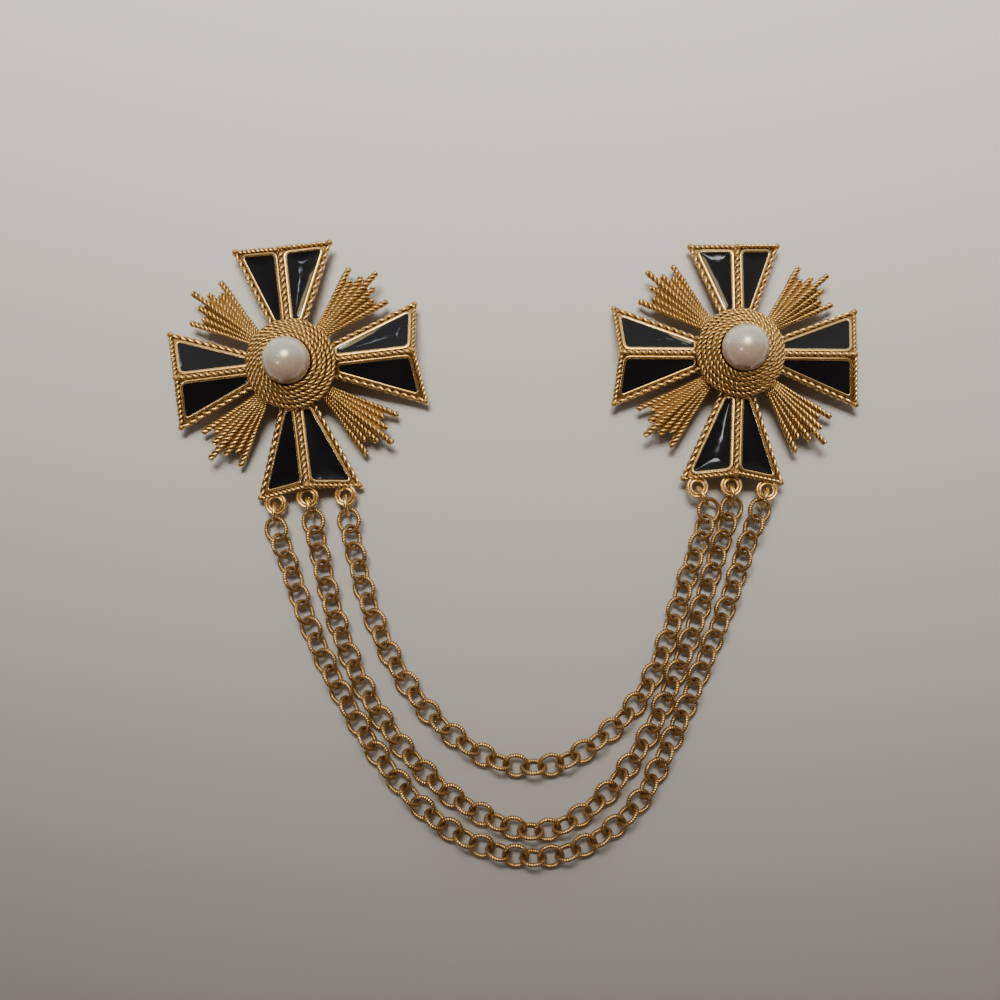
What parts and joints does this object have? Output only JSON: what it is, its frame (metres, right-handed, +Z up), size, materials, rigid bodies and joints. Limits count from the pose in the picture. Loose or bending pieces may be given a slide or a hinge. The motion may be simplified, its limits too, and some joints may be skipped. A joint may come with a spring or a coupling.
{
  "type": "chained collar brooch",
  "caption": "Enamelled cross brooches with pearl bosses and ray fans, joined by draped strands of ring chain and worn on the two points of a collar.",
  "frame": {"origin": "middle of the whole outline on the surface that the brooch lies on", "axes": "+X across from the left cross to the right cross, +Y towards the crosses and away from the hanging strands, +Z up out of the face"},
  "size_m": [0.1379, 0.1242, 0.0171],
  "materials": {
    "cast_gold": "antique gold plate, bright on the wires and knobs, warm brown in the recesses",
    "chain_gold": "antique gold plate on finely grooved rings",
    "pin_gold": "plain satin gold plate",
    "black_enamel": "glossy black enamel, slightly domed",
    "pearl": "cream imitation pearl with a soft lustre"
  },
  "bodies": {
    "root": {"left_cross": "cast_gold", "left_rays": "cast_gold", "left_boss": "cast_gold", "left_pearl": "pearl", "left_pin": "pin_gold", "left_enamel_1": "black_enamel", "left_enamel_2": "black_enamel", "left_enamel_3": "black_enamel", "left_enamel_4": "black_enamel", "left_enamel_5": "black_enamel", "left_enamel_6": "black_enamel", "left_enamel_7": "black_enamel", "left_enamel_8": "black_enamel", "left_jump_ring_1": "chain_gold", "left_jump_ring_2": "chain_gold", "left_jump_ring_3": "chain_gold", "right_cross": "cast_gold", "right_rays": "cast_gold", "right_boss": "cast_gold", "right_pearl": "pearl", "right_pin": "pin_gold", "right_enamel_1": "black_enamel", "right_enamel_2": "black_enamel", "right_enamel_3": "black_enamel", "right_enamel_4": "black_enamel", "right_enamel_5": "black_enamel", "right_enamel_6": "black_enamel", "right_enamel_7": "black_enamel", "right_enamel_8": "black_enamel", "right_jump_ring_1": "chain_gold", "right_jump_ring_2": "chain_gold", "right_jump_ring_3": "chain_gold", "chain_inner": "chain_gold", "chain_middle": "chain_gold", "chain_outer": "chain_gold"}
  },
  "joints": []
}
